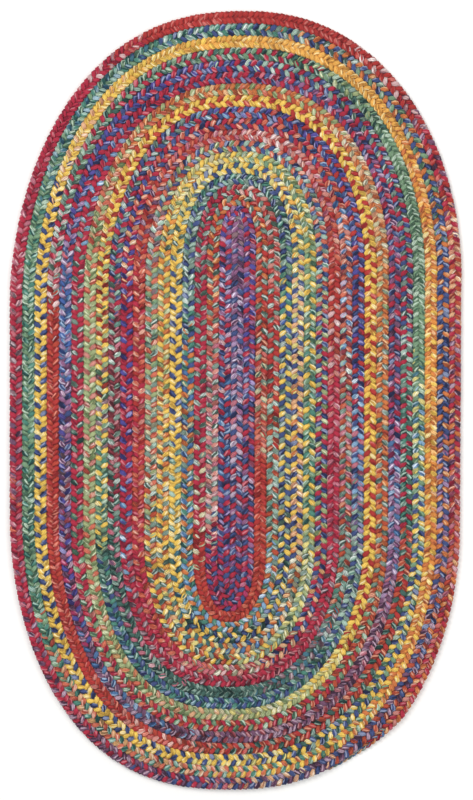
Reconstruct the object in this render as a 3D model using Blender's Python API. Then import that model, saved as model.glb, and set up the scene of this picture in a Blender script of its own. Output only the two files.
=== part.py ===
"""Oval braided rug: one three-strand braid coiled flat and laced row to row.

World frame, in metres with +Z up: the underside lies on z = 0, the length runs
along Y and the width along X, and the braid's first end is near +Y.

The braid starts with a straight core row that runs from the head end (+Y) to the
foot end (-Y). There it turns clockwise, seen from above, and goes round the core
in eighteen laps. A distance out from the core is counted in rows, and one row is
the width of the braid. Its last end tapers off beside the foot.
"""

import math
from dataclasses import dataclass

import bmesh
import bpy
from mathutils import Vector

RUG_WIDTH = 0.686
LAPS = 18
ROW = RUG_WIDTH / (2 * LAPS + 1)
THICKNESS = 0.0095

# The sewn groove between two rows, and the rounded top of a row: how far across
# the row each point of its section lies, and how high it stands.
GROOVE_HEIGHT = 0.62 * THICKNESS
SHOULDER_HEIGHT = 0.93 * THICKNESS
ROW_SECTION = (
    (0.00, GROOVE_HEIGHT),
    (0.22, SHOULDER_HEIGHT),
    (0.50, THICKNESS),
    (0.78, SHOULDER_HEIGHT),
    (1.00, GROOVE_HEIGHT),
)

# The rim curls in below this height, down to the flat underside.
RIM_CURL_HEIGHT = 0.28 * THICKNESS
RIM_CURL_IN = 0.0016

# Each half turn has this many steps. The braid's last end keeps its width for the
# first steps of the foot turn and is gone a few steps later.
TURN_STEPS = 24
TAIL_FULL_STEPS = 6
TAIL_STEPS = 9
TAIL_WIDTH = 0.9 * ROW

WELD = 0.00002


@dataclass(frozen=True)
class RugEnd:
    """How one rounded end changes from the core row out to the rim.

    side is +1 at the head and -1 at the foot, and middle is where the half turns
    centre, across the rug. The straight rows begin to turn at spring, measured from
    the middle of the rug, and the turn reaches out to tip. A spring_power under 1
    moves the spring soonest beside the core. pitch_core is the row width at the tip
    there. roundness is 2 for an ellipse and more for squarer shoulders, and the left
    and right ones of a hand-laid rug differ. lean is how far the rim is pulled
    towards +X at its tip.
    """

    side: int
    middle_core: float
    middle_rim: float
    rim_rows: float
    spring_core: float
    spring_rim: float
    tip_core: float
    tip_rim: float
    roundness_core_left: float
    roundness_core_right: float
    roundness_rim_left: float
    roundness_rim_right: float
    lean: float
    pitch_core: float = 0.0157
    spring_power: float = 0.44

    def point(self, rows, turned):
        """A point on the half turn `rows` rows out, from 0 at +X to pi at -X."""
        share = rows / self.rim_rows
        spring = blend(self.spring_core, self.spring_rim, share**self.spring_power)
        even_tip = self.tip_core + self.pitch_core * rows
        growth = self.tip_rim - self.tip_core - self.pitch_core * self.rim_rows
        reach = even_tip + growth * share**2 - spring
        across = math.cos(turned)
        if across > 0:
            roundness = blend(self.roundness_core_right, self.roundness_rim_right, share)
        else:
            roundness = blend(self.roundness_core_left, self.roundness_rim_left, share)
        across = math.copysign(abs(across) ** (2 / roundness), across)
        outward = math.sin(turned)
        middle = blend(self.middle_core, self.middle_rim, share)
        x = middle + rows * ROW * across + self.lean * share * outward
        return Vector((x, self.side * (spring + reach * outward), 0.0))


def blend(start, stop, share):
    return start + (stop - start) * share


HEAD = RugEnd(
    side=1,
    middle_core=0.0037,
    middle_rim=0.0,
    rim_rows=LAPS + 0.5,
    spring_core=0.2655,
    spring_rim=0.1637,
    tip_core=0.2726,
    tip_rim=0.5916,
    roundness_core_left=2.90,
    roundness_core_right=2.54,
    roundness_rim_left=2.44,
    roundness_rim_right=2.13,
    lean=0.0178,
)
FOOT = RugEnd(
    side=-1,
    middle_core=-ROW / 2,
    middle_rim=-ROW / 2,
    rim_rows=LAPS,
    spring_core=0.2785,
    spring_rim=0.1832,
    tip_core=0.2895,
    tip_rim=0.5916,
    roundness_core_left=2.90,
    roundness_core_right=2.10,
    roundness_rim_left=2.56,
    roundness_rim_right=2.30,
    lean=0.0060,
)


def turn_angles(steps=TURN_STEPS):
    return [math.pi * step / TURN_STEPS for step in range(steps + 1)]


def lap_line(lap):
    """The inner edge of the braid on one lap, which is the outer edge of the lap before.

    It comes down the +X side, goes round the foot, up the -X side and round the head.
    """
    foot = [FOOT.point(lap, turned) for turned in turn_angles()]
    head = [HEAD.point(lap + 0.5, math.pi - turned) for turned in turn_angles()]
    return foot + head


def tail_width(step):
    left = (TAIL_STEPS - step) / (TAIL_STEPS - TAIL_FULL_STEPS)
    return TAIL_WIDTH * min(1.0, left)


def row_section(inner, outer):
    """The points across one row, as high as the row is wide enough to carry."""
    fullness = min(1.0, (outer - inner).length / TAIL_WIDTH)
    section = []
    for across, height in ROW_SECTION:
        point = inner.lerp(outer, across)
        point.z = blend(GROOVE_HEIGHT, height, fullness)
        section.append(point)
    return section


def lay_row(rug, inner_line, outer_line):
    """Lay one run of the braid, with its inner and outer edge on the two lines."""
    last = []
    for inner, outer in zip(inner_line, outer_line, strict=True):
        points = [rug.verts.new(place) for place in row_section(inner, outer)]
        for a, b, c, d in zip(last, last[1:], points[1:], points, strict=False):
            rug.faces.new((a, b, c, d))
        last = points


def lay_first_end(rug):
    """Round off the braid's first end, from the core row's crown to the lap around it."""
    bend = [HEAD.point(0.5, math.pi - turned) for turned in turn_angles()]
    section = row_section(bend[0], bend[-1])
    for point in bend:
        point.z = GROOVE_HEIGHT
    rim = [section[1]] + bend + [section[-2]]
    crown = rug.verts.new(section[2])
    points = [rug.verts.new(place) for place in rim]
    for near, far in zip(points, points[1:], strict=False):
        rug.faces.new((crown, near, far))


def lay_laps(rug):
    """The core row and the eighteen laps around it."""
    for lap in range(LAPS):
        if lap == 0:
            lead_in = HEAD.point(0.5, math.pi)
        else:
            lead_in = HEAD.point(lap - 0.5, 0.0)
        inner_line = [lead_in] + lap_line(lap)
        outer_line = [HEAD.point(lap + 0.5, 0.0)] + lap_line(lap + 1)
        lay_row(rug, inner_line, outer_line)


def lay_last_end(rug):
    """The last run of the braid, down the +X side and tapering off round the foot."""
    inner_line = [HEAD.point(LAPS - 0.5, 0.0)]
    outer_line = [HEAD.point(LAPS + 0.5, 0.0)]
    for step, turned in enumerate(turn_angles(TAIL_STEPS)):
        inner_line.append(FOOT.point(LAPS, turned))
        outer_line.append(FOOT.point(LAPS + tail_width(step) / ROW, turned))
    lay_row(rug, inner_line, outer_line)


def close_underneath(rug):
    """Drop a wall from the outermost edge, and close it with the flat underside."""
    open_edges = [edge for edge in rug.edges if edge.is_boundary]
    grown = bmesh.ops.extrude_edge_only(rug, edges=open_edges)["geom"]
    for part in grown:
        if isinstance(part, bmesh.types.BMVert):
            part.co.z = RIM_CURL_HEIGHT
    low_edges = [edge for edge in rug.edges if edge.is_boundary]
    underside = bmesh.ops.contextual_create(rug, geom=low_edges)["faces"]
    bmesh.ops.inset_region(
        rug,
        faces=underside,
        thickness=RIM_CURL_IN,
        use_boundary=True,
        use_even_offset=True,
    )
    for face in underside:
        for point in face.verts:
            point.co.z = 0.0


def yarn_material():
    """Matt wool yarn, in the red that is the rug's commonest colour."""
    material = bpy.data.materials.new("braid_yarn")
    material.use_nodes = True
    shader = material.node_tree.nodes["Principled BSDF"]
    shader.inputs["Base Color"].default_value = (0.42, 0.05, 0.05, 1.0)
    shader.inputs["Roughness"].default_value = 0.9
    shader.inputs["Metallic"].default_value = 0.0
    return material


def make_rug():
    """Coil the braid row by row into one closed body with a flat underside."""
    rug = bmesh.new()
    lay_laps(rug)
    lay_last_end(rug)
    lay_first_end(rug)
    bmesh.ops.remove_doubles(rug, verts=rug.verts, dist=WELD)
    bmesh.ops.dissolve_degenerate(rug, edges=rug.edges, dist=WELD)
    close_underneath(rug)
    bmesh.ops.recalc_face_normals(rug, faces=rug.faces)

    mesh = bpy.data.meshes.new("braided_rug")
    rug.to_mesh(mesh)
    rug.free()
    mesh.materials.append(yarn_material())
    mesh.shade_smooth()
    mesh.set_sharp_from_angle(angle=math.radians(60))
    braided_rug = bpy.data.objects.new("braided_rug", mesh)
    bpy.context.scene.collection.objects.link(braided_rug)


def main():
    for thing in list(bpy.data.objects):
        bpy.data.objects.remove(thing, do_unlink=True)
    make_rug()


main()
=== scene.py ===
"""Oval braided rug, dressed: one three-strand braid of plied wool yarn, coiled flat.

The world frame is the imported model's: metres, +Z up, the underside on z = 0, the
length along Y and the width along X. The braid's first end lies near +Y, its core row
runs down the middle, and from there it goes clockwise, seen from above, in eighteen
laps. A distance out from the core is counted in rows, and a row is the braid's width.

Each of the three strands is swept along its own way through the plait, so the stitches,
the hollows between them and the grooves between the rows are all real shape. The yarns
change along the strands as a maker's dye chart says.
"""

import logging
import math
from dataclasses import dataclass
from enum import Enum
from typing import NamedTuple

import bmesh
import bpy
import numpy as np
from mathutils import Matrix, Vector

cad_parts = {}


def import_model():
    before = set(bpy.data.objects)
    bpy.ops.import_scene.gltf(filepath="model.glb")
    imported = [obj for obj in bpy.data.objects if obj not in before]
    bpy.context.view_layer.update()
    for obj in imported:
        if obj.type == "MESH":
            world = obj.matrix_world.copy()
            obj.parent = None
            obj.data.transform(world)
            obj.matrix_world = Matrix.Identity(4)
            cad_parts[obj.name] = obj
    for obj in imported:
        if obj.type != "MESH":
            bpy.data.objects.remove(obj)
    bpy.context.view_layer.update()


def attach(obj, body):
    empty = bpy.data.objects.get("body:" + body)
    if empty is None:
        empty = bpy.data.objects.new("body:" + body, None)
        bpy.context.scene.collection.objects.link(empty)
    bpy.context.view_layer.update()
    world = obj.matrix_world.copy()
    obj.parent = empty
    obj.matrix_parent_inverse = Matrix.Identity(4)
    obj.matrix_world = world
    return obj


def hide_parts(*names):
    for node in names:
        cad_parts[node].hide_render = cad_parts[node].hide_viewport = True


log = logging.getLogger("braided_rug")

MM = 0.001

Socket = bpy.types.NodeSocket


def srgb(colour: str) -> tuple[float, float, float, float]:
    """Turn an sRGB hex colour into linear red, green, blue and alpha.

    Args:
        colour: Six hex digits, such as "c8403c".

    Returns:
        The linear colour with an alpha of 1.
    """
    parts = [int(colour[i : i + 2], 16) / 255 for i in (0, 2, 4)]
    linear = [c / 12.92 if c <= 0.04045 else ((c + 0.055) / 1.055) ** 2.4 for c in parts]
    return (linear[0], linear[1], linear[2], 1.0)


def smooth_step(value: np.ndarray) -> np.ndarray:
    """Ease values from 0 to 1, and hold them there outside that range."""
    held = np.clip(value, 0.0, 1.0)
    return held * held * (3 - 2 * held)


def blend(start: float, stop: float, share: float | np.ndarray) -> float | np.ndarray:
    """Go some share of the way from one value to another."""
    return start + (stop - start) * share


# ---------------------------------------------------------------- the yarns


@dataclass(frozen=True)
class Yarn:
    """A strand's worth of dyed wool: a bundle of yarns that aren't all of one dye.

    Attributes:
        dye: The colour of most of the yarns, as sRGB hex.
        deep: The colour of the darker ones.
        pale: The colour of the lighter ones.
        mix: The share of the yarns that are deep or pale, from 0 to 1.
    """

    dye: str
    deep: str
    pale: str
    mix: float


RED = Yarn("b23a38", "8e2a2c", "c8554a", 0.35)
CRIMSON = Yarn("b03046", "862238", "c85868", 0.35)
DARK_RED = Yarn("983830", "6c2424", "c07058", 0.40)
VERMILION = Yarn("bc4a3c", "94342e", "d8745c", 0.40)
RUST = Yarn("b8523c", "8c3a30", "d88a68", 0.50)
CORAL = Yarn("d0705a", "ac4c40", "e8a890", 0.50)
SALMON = Yarn("d08a80", "a8625c", "e8b8ac", 0.50)
MAROON = Yarn("8a3c46", "5c2a34", "b87078", 0.60)
RASPBERRY = Yarn("a83a62", "742848", "d07090", 0.45)
DUSTY_PINK = Yarn("c07484", "90485c", "dca4ac", 0.50)
PALE_PINK = Yarn("dab4b4", "b08088", "f0dcd8", 0.50)
PEACH = Yarn("e4b088", "bc8468", "f4d8bc", 0.50)
ORANGE = Yarn("d07a48", "a8583a", "e8b078", 0.50)
TANGERINE = Yarn("e09048", "bc6c3c", "f4bc6c", 0.50)
TAN = Yarn("c89868", "947450", "e4c49c", 0.50)
GOLD = Yarn("ecb058", "c48a44", "f8d488", 0.45)
YELLOW = Yarn("f0c860", "d0a44c", "fae29c", 0.45)
PALE_YELLOW = Yarn("e4d688", "b0ac70", "f4ecbc", 0.50)
CREAM = Yarn("ccc4a0", "98947c", "e8e4cc", 0.55)
PALE_SAGE = Yarn("a4b080", "74865c", "ccd4a8", 0.60)
SAGE = Yarn("7c9c7c", "4c6c58", "b0c8b0", 0.60)
GREY_GREEN = Yarn("7e9488", "4c6258", "b8c8c0", 0.65)
MINT = Yarn("a8c4b4", "6c9488", "dce8e0", 0.60)
TEAL = Yarn("528878", "2c5450", "98bcae", 0.60)
DARK_TEAL = Yarn("486a62", "26423f", "86a496", 0.65)
SLATE_TEAL = Yarn("4a7888", "2c4c60", "90b0bc", 0.60)
LIGHT_BLUE = Yarn("84a8c8", "5878a4", "ccdcec", 0.55)
SLATE_BLUE = Yarn("5478a4", "344c78", "94b0d0", 0.55)
BLUE = Yarn("4a68a8", "2e4478", "8ca4d0", 0.50)
NAVY = Yarn("465484", "2a3054", "7c8ab0", 0.50)
INDIGO = Yarn("565098", "363266", "8c88c0", 0.50)
VIOLET = Yarn("6a508c", "443258", "a08cc0", 0.55)
PLUM = Yarn("7a5470", "4c3248", "b08ea4", 0.65)
MAUVE = Yarn("96648a", "644060", "c4a0bc", 0.60)
MAUVE_GREY = Yarn("8c7078", "5a444e", "b8a0a8", 0.60)
LILAC = Yarn("a88cb0", "74608a", "d4c4dc", 0.55)
PALE_LILAC = Yarn("c4b0c4", "8c7894", "e8dce8", 0.55)


class Leg(Enum):
    """The four legs of a lap, in the order in which the braid passes them."""

    RIGHT = 0
    FOOT = 1
    LEFT = 2
    HEAD = 3


class LegYarns(NamedTuple):
    """A row of a strand's dye chart: the yarns that begin on one leg of a lap.

    Attributes:
        lap: Which lap of the braid, the core row being 0.
        leg: Which leg of that lap.
        yarns: The yarns, each with how far along the leg it begins, from 0 to 1.
    """

    lap: int
    leg: Leg
    yarns: dict[float, Yarn]


RIGHT, FOOT, LEFT, HEAD = Leg

FIRST_STRAND = (
    LegYarns(0, RIGHT, {0.00: MAUVE, 0.20: LILAC, 0.50: PALE_LILAC, 0.80: MAUVE, 0.90: VIOLET}),
    LegYarns(0, FOOT, {0.00: MAUVE, 0.40: RASPBERRY}),
    LegYarns(0, LEFT, {0.05: VIOLET, 0.30: SLATE_BLUE, 0.60: PALE_PINK, 0.66: MAUVE, 0.80: LILAC}),
    LegYarns(0, HEAD, {0.00: MAUVE}),
    LegYarns(1, RIGHT, {0.35: VIOLET, 0.60: DUSTY_PINK, 0.70: MAUVE}),
    LegYarns(1, FOOT, {0.00: RASPBERRY}),
    LegYarns(1, LEFT, {0.03: SALMON, 0.72: CORAL, 0.84: ORANGE}),
    LegYarns(2, RIGHT, {0.00: RUST, 0.44: SALMON, 0.60: VERMILION}),
    LegYarns(2, FOOT, {0.20: CORAL, 0.30: VERMILION, 0.38: CORAL, 0.52: VERMILION}),
    LegYarns(2, LEFT, {0.00: CREAM, 0.30: GREY_GREEN}),
    LegYarns(3, RIGHT, {0.60: MINT, 0.70: GREY_GREEN}),
    LegYarns(3, FOOT, {0.30: TEAL}),
    LegYarns(3, LEFT, {0.26: GREY_GREEN, 0.40: CREAM, 0.50: TEAL, 0.82: GREY_GREEN}),
    LegYarns(3, HEAD, {0.20: TEAL}),
    LegYarns(4, RIGHT, {0.00: SAGE, 0.10: TEAL, 0.25: GREY_GREEN, 0.92: DARK_TEAL}),
    LegYarns(4, FOOT, {0.70: YELLOW}),
    LegYarns(4, HEAD, {0.15: PALE_YELLOW}),
    LegYarns(5, RIGHT, {0.05: PEACH, 0.50: YELLOW}),
    LegYarns(5, FOOT, {0.00: CREAM, 0.50: PALE_YELLOW, 0.85: YELLOW}),
    LegYarns(6, FOOT, {0.00: PALE_YELLOW, 0.38: YELLOW}),
    LegYarns(6, LEFT, {
        0.10: PALE_SAGE, 0.20: CREAM, 0.50: PALE_SAGE, 0.70: SAGE, 0.88: PALE_SAGE,
    }),
    LegYarns(6, HEAD, {0.00: MINT, 0.22: PALE_SAGE, 0.50: MINT, 0.70: GREY_GREEN, 0.90: MINT}),
    LegYarns(7, RIGHT, {0.08: PALE_SAGE}),
    LegYarns(7, FOOT, {
        0.00: TAN, 0.10: MAUVE_GREY, 0.20: PEACH, 0.34: CREAM, 0.60: CORAL, 0.80: RUST,
        0.90: CORAL,
    }),
    LegYarns(7, LEFT, {0.20: RUST, 0.30: CORAL, 0.40: SALMON, 0.50: CORAL}),
    LegYarns(7, HEAD, {0.45: SALMON, 0.80: CORAL}),
    LegYarns(8, RIGHT, {0.05: PALE_PINK, 0.30: SALMON, 0.45: DUSTY_PINK}),
    LegYarns(8, FOOT, {0.00: MAUVE_GREY, 0.20: MAROON, 0.50: MAUVE_GREY, 0.93: LIGHT_BLUE}),
    LegYarns(8, LEFT, {0.15: INDIGO}),
    LegYarns(8, HEAD, {0.20: NAVY, 0.70: SLATE_BLUE}),
    LegYarns(9, RIGHT, {
        0.00: PALE_LILAC, 0.08: LIGHT_BLUE, 0.28: MINT, 0.50: GREY_GREEN, 0.80: DARK_TEAL,
        0.90: GREY_GREEN,
    }),
    LegYarns(9, FOOT, {0.08: TEAL, 0.18: MAUVE_GREY, 0.42: DARK_TEAL}),
    LegYarns(9, LEFT, {0.00: GREY_GREEN, 0.64: MINT, 0.86: GREY_GREEN}),
    LegYarns(9, HEAD, {0.00: DARK_TEAL, 0.10: GREY_GREEN, 0.40: LIGHT_BLUE, 0.50: INDIGO}),
    LegYarns(10, RIGHT, {0.35: LIGHT_BLUE, 0.84: LILAC}),
    LegYarns(10, FOOT, {0.00: GREY_GREEN, 0.38: SLATE_TEAL, 0.86: GREY_GREEN}),
    LegYarns(10, LEFT, {
        0.00: PALE_SAGE, 0.10: DARK_TEAL, 0.20: TEAL, 0.35: MAUVE_GREY, 0.62: DARK_RED,
    }),
    LegYarns(10, HEAD, {0.05: VERMILION, 0.60: RED}),
    LegYarns(11, RIGHT, {0.30: VERMILION, 0.40: RED}),
    LegYarns(11, FOOT, {0.22: PALE_YELLOW, 0.32: PALE_SAGE, 0.40: CREAM, 0.50: PALE_SAGE}),
    LegYarns(11, HEAD, {0.70: CREAM}),
    LegYarns(12, RIGHT, {0.00: PALE_SAGE, 0.12: GREY_GREEN}),
    LegYarns(12, FOOT, {0.10: SAGE}),
    LegYarns(12, LEFT, {0.00: DARK_TEAL, 0.40: GREY_GREEN}),
    LegYarns(12, HEAD, {0.10: LIGHT_BLUE, 0.22: NAVY}),
    LegYarns(13, RIGHT, {0.62: SLATE_BLUE}),
    LegYarns(13, FOOT, {0.05: PLUM, 0.55: SLATE_BLUE, 0.80: INDIGO}),
    LegYarns(13, LEFT, {0.40: MAUVE, 0.58: LILAC}),
    LegYarns(13, HEAD, {0.10: INDIGO, 0.50: MINT, 0.62: GREY_GREEN}),
    LegYarns(14, RIGHT, {0.50: DARK_TEAL, 0.80: MINT, 0.90: DARK_TEAL}),
    LegYarns(14, FOOT, {0.55: SALMON, 0.72: RED}),
    LegYarns(14, LEFT, {0.88: PALE_PINK}),
    LegYarns(14, HEAD, {0.08: MINT, 0.20: SAGE, 0.60: PALE_SAGE, 0.70: SAGE}),
    LegYarns(15, RIGHT, {0.35: PALE_YELLOW, 0.80: YELLOW}),
    LegYarns(15, HEAD, {0.45: GOLD, 0.92: YELLOW}),
    LegYarns(16, FOOT, {0.50: PEACH, 0.60: TAN, 0.70: PEACH, 0.80: SAGE}),
    LegYarns(16, HEAD, {0.15: SLATE_TEAL, 0.38: NAVY}),
    LegYarns(17, FOOT, {0.60: PLUM, 0.92: DUSTY_PINK}),
    LegYarns(17, LEFT, {0.10: PLUM, 0.50: MAUVE_GREY, 0.94: DUSTY_PINK}),
    LegYarns(17, HEAD, {
        0.15: CRIMSON, 0.28: PALE_PINK, 0.34: RED, 0.66: PALE_PINK, 0.76: PLUM, 0.90: PEACH,
    }),
    LegYarns(18, RIGHT, {0.10: PLUM, 0.76: DUSTY_PINK}),
    LegYarns(18, FOOT, {0.36: RED, 0.54: SALMON, 0.74: RED, 0.80: SLATE_BLUE}),
)

SECOND_STRAND = (
    LegYarns(0, RIGHT, {0.00: MAUVE, 0.50: DUSTY_PINK, 0.62: CRIMSON}),
    LegYarns(1, LEFT, {
        0.14: PALE_PINK, 0.27: DUSTY_PINK, 0.30: MAUVE_GREY, 0.38: DUSTY_PINK, 0.63: RED,
    }),
    LegYarns(2, RIGHT, {0.50: CORAL, 0.60: RED, 0.85: VERMILION}),
    LegYarns(2, FOOT, {0.70: RED}),
    LegYarns(2, LEFT, {0.10: CRIMSON, 0.96: MAUVE_GREY}),
    LegYarns(2, HEAD, {0.15: CRIMSON, 0.40: RED}),
    LegYarns(3, RIGHT, {0.58: MINT, 0.90: SAGE}),
    LegYarns(3, FOOT, {0.02: LIGHT_BLUE}),
    LegYarns(3, LEFT, {0.00: SLATE_BLUE, 0.60: NAVY}),
    LegYarns(4, RIGHT, {0.10: BLUE, 0.20: NAVY}),
    LegYarns(4, FOOT, {0.65: SLATE_TEAL}),
    LegYarns(4, LEFT, {0.00: DARK_TEAL, 0.10: MINT, 0.34: NAVY, 0.94: GREY_GREEN}),
    LegYarns(4, HEAD, {
        0.30: NAVY, 0.50: SLATE_TEAL, 0.60: NAVY, 0.80: GREY_GREEN, 0.90: SLATE_TEAL,
    }),
    LegYarns(5, RIGHT, {0.00: NAVY}),
    LegYarns(5, FOOT, {
        0.08: GREY_GREEN, 0.20: DARK_TEAL, 0.30: SLATE_BLUE, 0.50: DARK_TEAL, 0.60: SLATE_TEAL,
        0.70: DARK_TEAL, 0.80: GREY_GREEN,
    }),
    LegYarns(5, LEFT, {0.45: PALE_SAGE, 0.97: GREY_GREEN}),
    LegYarns(5, HEAD, {0.12: PALE_SAGE, 0.30: CREAM, 0.50: SAGE}),
    LegYarns(6, RIGHT, {0.06: TEAL, 0.28: GREY_GREEN, 0.42: TEAL, 0.95: GREY_GREEN}),
    LegYarns(6, FOOT, {0.30: MINT, 0.40: GREY_GREEN}),
    LegYarns(6, LEFT, {0.40: MINT, 0.50: GREY_GREEN}),
    LegYarns(6, HEAD, {0.00: MAUVE_GREY, 0.22: NAVY}),
    LegYarns(7, FOOT, {0.36: SALMON, 0.40: PALE_PINK, 0.50: SALMON, 0.55: CRIMSON}),
    LegYarns(7, LEFT, {0.00: RED, 0.70: DARK_RED, 0.90: RED}),
    LegYarns(7, HEAD, {
        0.08: PLUM, 0.38: DUSTY_PINK, 0.50: PALE_PINK, 0.70: DUSTY_PINK, 0.90: RED,
    }),
    LegYarns(8, RIGHT, {0.20: CORAL, 0.30: CRIMSON}),
    LegYarns(8, HEAD, {0.00: PEACH, 0.15: CORAL}),
    LegYarns(9, RIGHT, {0.50: RUST}),
    LegYarns(9, FOOT, {0.22: SLATE_TEAL, 0.40: DARK_TEAL}),
    LegYarns(9, LEFT, {0.25: MAROON, 0.80: DUSTY_PINK, 0.90: NAVY}),
    LegYarns(10, FOOT, {0.90: DARK_TEAL}),
    LegYarns(10, LEFT, {0.02: YELLOW}),
    LegYarns(11, FOOT, {0.36: PALE_SAGE}),
    LegYarns(11, HEAD, {0.10: PEACH, 0.20: ORANGE}),
    LegYarns(12, FOOT, {0.10: RUST, 0.60: CORAL, 0.80: SALMON, 0.90: CRIMSON}),
    LegYarns(13, RIGHT, {0.50: RASPBERRY, 0.80: MAUVE}),
    LegYarns(13, FOOT, {0.10: PLUM}),
    LegYarns(13, LEFT, {0.10: MAUVE_GREY, 0.30: NAVY, 0.55: BLUE, 0.98: NAVY}),
    LegYarns(14, RIGHT, {0.20: MINT, 0.42: TEAL}),
    LegYarns(14, FOOT, {0.00: RUST, 0.60: VERMILION}),
    LegYarns(14, LEFT, {0.97: GREY_GREEN}),
    LegYarns(14, HEAD, {0.20: DARK_TEAL, 0.76: SAGE}),
    LegYarns(15, RIGHT, {0.35: SLATE_TEAL, 0.60: LIGHT_BLUE, 0.88: NAVY}),
    LegYarns(15, HEAD, {0.15: PEACH, 0.30: GOLD, 0.80: TANGERINE}),
    LegYarns(16, FOOT, {0.25: ORANGE, 0.45: CORAL, 0.85: TEAL}),
    LegYarns(16, HEAD, {0.55: ORANGE}),
    LegYarns(17, FOOT, {0.12: RUST, 0.34: PLUM, 0.50: CRIMSON}),
    LegYarns(17, LEFT, {0.00: CORAL, 0.10: CRIMSON}),
    LegYarns(17, HEAD, {0.35: RED, 0.90: RUST}),
    LegYarns(18, RIGHT, {0.50: ORANGE, 0.70: CORAL}),
    LegYarns(18, FOOT, {0.10: ORANGE, 0.85: PEACH}),
)

THIRD_STRAND = (
    LegYarns(0, RIGHT, {0.00: MAUVE_GREY, 0.08: NAVY}),
    LegYarns(0, HEAD, {0.00: INDIGO}),
    LegYarns(1, RIGHT, {0.30: NAVY}),
    LegYarns(1, LEFT, {0.12: GREY_GREEN}),
    LegYarns(2, RIGHT, {0.42: CREAM, 0.60: RED}),
    LegYarns(2, LEFT, {0.10: CRIMSON}),
    LegYarns(2, HEAD, {0.50: SALMON}),
    LegYarns(3, RIGHT, {0.15: RED, 0.45: RUST}),
    LegYarns(3, FOOT, {0.00: ORANGE}),
    LegYarns(3, LEFT, {0.70: MINT}),
    LegYarns(3, HEAD, {0.10: GREY_GREEN}),
    LegYarns(4, RIGHT, {0.00: MINT, 0.10: YELLOW}),
    LegYarns(4, HEAD, {0.60: GOLD, 0.90: YELLOW}),
    LegYarns(5, RIGHT, {0.00: PALE_YELLOW, 0.42: PEACH, 0.50: ORANGE, 0.60: PEACH}),
    LegYarns(5, FOOT, {0.00: ORANGE}),
    LegYarns(5, LEFT, {0.00: GOLD, 0.10: ORANGE}),
    LegYarns(5, HEAD, {0.00: TANGERINE, 0.25: PALE_YELLOW, 0.50: PALE_SAGE}),
    LegYarns(6, RIGHT, {0.00: SAGE, 0.90: PALE_SAGE}),
    LegYarns(6, FOOT, {0.43: RUST}),
    LegYarns(6, LEFT, {0.20: CORAL}),
    LegYarns(6, HEAD, {0.30: RUST, 0.40: CORAL}),
    LegYarns(7, RIGHT, {0.12: CRIMSON}),
    LegYarns(7, FOOT, {0.40: CORAL, 0.50: CRIMSON}),
    LegYarns(7, HEAD, {0.00: RED}),
    LegYarns(8, RIGHT, {0.30: CRIMSON}),
    LegYarns(8, HEAD, {0.84: SALMON}),
    LegYarns(9, RIGHT, {0.00: MAROON, 0.50: DUSTY_PINK}),
    LegYarns(9, FOOT, {
        0.00: GREY_GREEN, 0.28: DARK_TEAL, 0.64: DUSTY_PINK, 0.80: PLUM, 0.90: DUSTY_PINK,
    }),
    LegYarns(9, LEFT, {0.05: CRIMSON, 0.22: MAROON, 0.88: CRIMSON}),
    LegYarns(9, HEAD, {0.50: RED}),
    LegYarns(10, RIGHT, {
        0.08: MAROON, 0.20: RED, 0.30: CRIMSON, 0.60: DUSTY_PINK, 0.85: GREY_GREEN,
    }),
    LegYarns(10, FOOT, {0.00: MINT, 0.20: TEAL}),
    LegYarns(10, LEFT, {0.00: SAGE, 0.68: PALE_SAGE, 0.90: YELLOW}),
    LegYarns(10, HEAD, {0.00: PALE_SAGE, 0.08: YELLOW}),
    LegYarns(11, RIGHT, {
        0.05: GOLD, 0.30: YELLOW, 0.40: GOLD, 0.50: YELLOW, 0.60: GOLD, 0.70: YELLOW,
    }),
    LegYarns(11, FOOT, {0.24: PALE_YELLOW, 0.50: PEACH, 0.62: CORAL, 0.70: TAN, 0.80: CORAL}),
    LegYarns(11, LEFT, {0.30: SALMON, 0.80: CORAL}),
    LegYarns(11, HEAD, {0.40: ORANGE, 0.50: CORAL, 0.60: RUST, 0.70: PEACH, 0.90: ORANGE}),
    LegYarns(12, RIGHT, {0.50: RUST}),
    LegYarns(12, FOOT, {0.25: CRIMSON}),
    LegYarns(12, HEAD, {0.55: MAUVE}),
    LegYarns(13, RIGHT, {0.00: PLUM, 0.30: MAUVE, 0.55: LILAC}),
    LegYarns(13, FOOT, {0.12: DUSTY_PINK, 0.27: MAROON, 0.60: PLUM, 0.80: RASPBERRY}),
    LegYarns(13, LEFT, {0.00: MAROON, 0.10: MAUVE, 0.70: SLATE_BLUE}),
    LegYarns(13, HEAD, {0.02: CRIMSON}),
    LegYarns(14, FOOT, {0.00: RED}),
    LegYarns(14, HEAD, {0.00: CRIMSON, 0.62: SAGE}),
    LegYarns(15, FOOT, {0.30: DARK_TEAL, 0.42: PALE_YELLOW, 0.52: YELLOW}),
    LegYarns(15, HEAD, {0.50: GOLD, 0.75: ORANGE}),
    LegYarns(16, RIGHT, {0.30: TANGERINE, 0.85: ORANGE}),
    LegYarns(16, FOOT, {0.25: SAGE, 0.38: TEAL, 0.88: SAGE}),
    LegYarns(16, HEAD, {0.38: MINT, 0.56: GREY_GREEN, 0.70: SAGE, 0.90: NAVY}),
    LegYarns(17, RIGHT, {0.70: MAUVE, 0.90: LILAC}),
    LegYarns(17, FOOT, {0.04: PLUM, 0.38: PEACH, 0.50: PLUM, 0.72: CRIMSON}),
    LegYarns(17, HEAD, {0.35: RED, 0.75: CRIMSON}),
    LegYarns(18, FOOT, {0.00: VERMILION, 0.35: CRIMSON, 0.85: GREY_GREEN}),
)


# ---------------------------------------------------------------- the way the braid runs


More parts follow.
